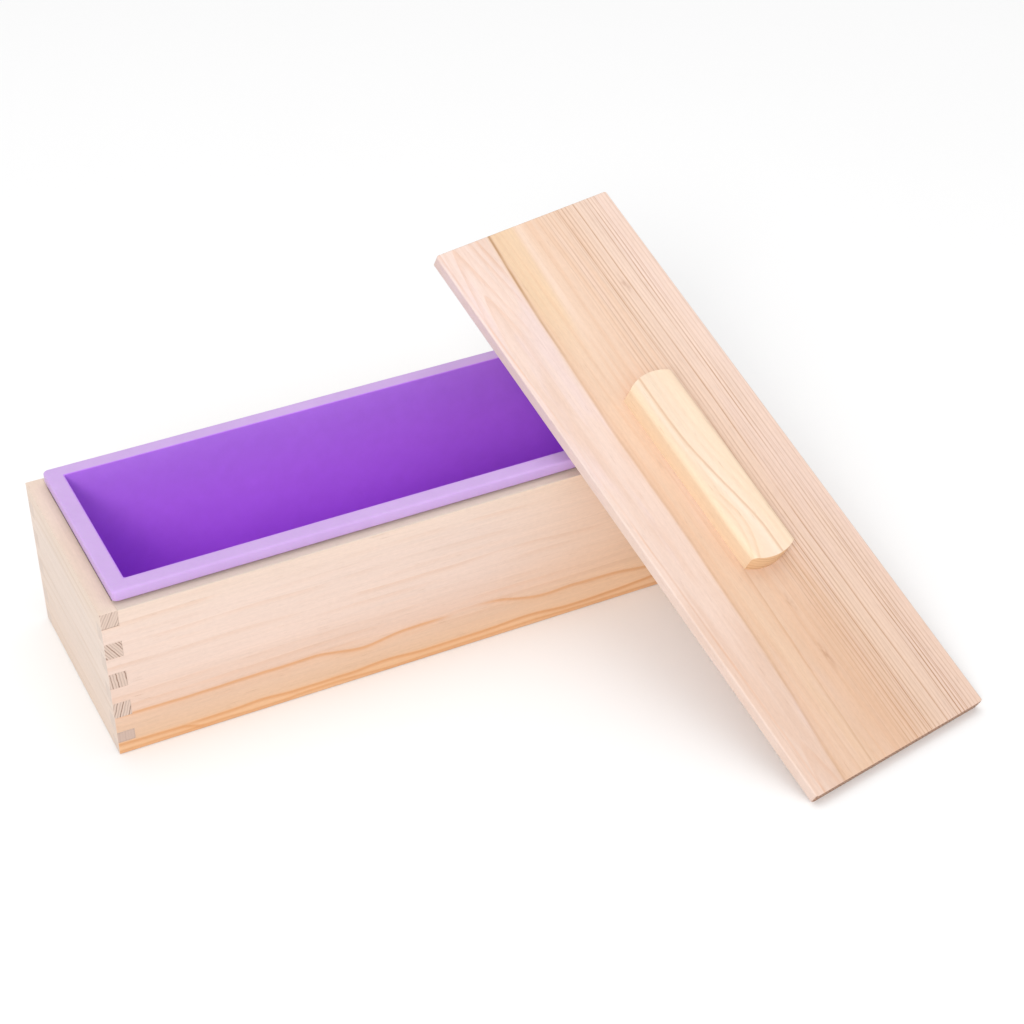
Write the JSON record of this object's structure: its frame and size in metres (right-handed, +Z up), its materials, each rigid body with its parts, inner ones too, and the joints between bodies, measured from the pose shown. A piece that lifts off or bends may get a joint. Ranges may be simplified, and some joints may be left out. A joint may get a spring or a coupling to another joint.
{
  "type": "soap loaf mould",
  "caption": "Soap loaf mould: a finger-jointed wooden box with a lift-out silicone liner and a loose wooden lid with a bar handle, leaning on the liner's rim.",
  "frame": {"origin": "middle of the box's underside, where the mould stands on the bench", "axes": "+X along the box, +Y from the front board to the rear board, +Z up"},
  "size_m": [0.3332, 0.2672, 0.1412],
  "materials": {
    "pine_sides": "bare sanded pine, matt",
    "pine_ends": "bare sanded pine, matt",
    "pine_bottom": "bare sanded pine, matt",
    "purple_silicone": "satin silicone rubber",
    "pine_lid": "bare sanded pine, matt",
    "pine_handle": "bare sanded pine, matt",
    "zinc_screw": "zinc-plated steel"
  },
  "bodies": {
    "box": {"front_board": "pine_sides", "rear_board": "pine_sides", "left_end_board": "pine_ends", "right_end_board": "pine_ends", "bottom_panel": "pine_bottom"},
    "liner": {"silicone_liner": "purple_silicone"},
    "lid": {"lid_panel": "pine_lid", "lid_handle": "pine_handle", "lower_handle_screw": "zinc_screw", "upper_handle_screw": "zinc_screw"}
  },
  "joints": [
    {"name": "liner_lift", "type": "slide", "parent": "box", "child": "liner", "axis": [0, 0, 1], "range_m": [0, 0.09]},
    {"name": "lid_lift", "type": "slide", "parent": "liner", "child": "lid", "axis": [0, 0, 1], "range_m": [0, 0.12]}
  ]
}
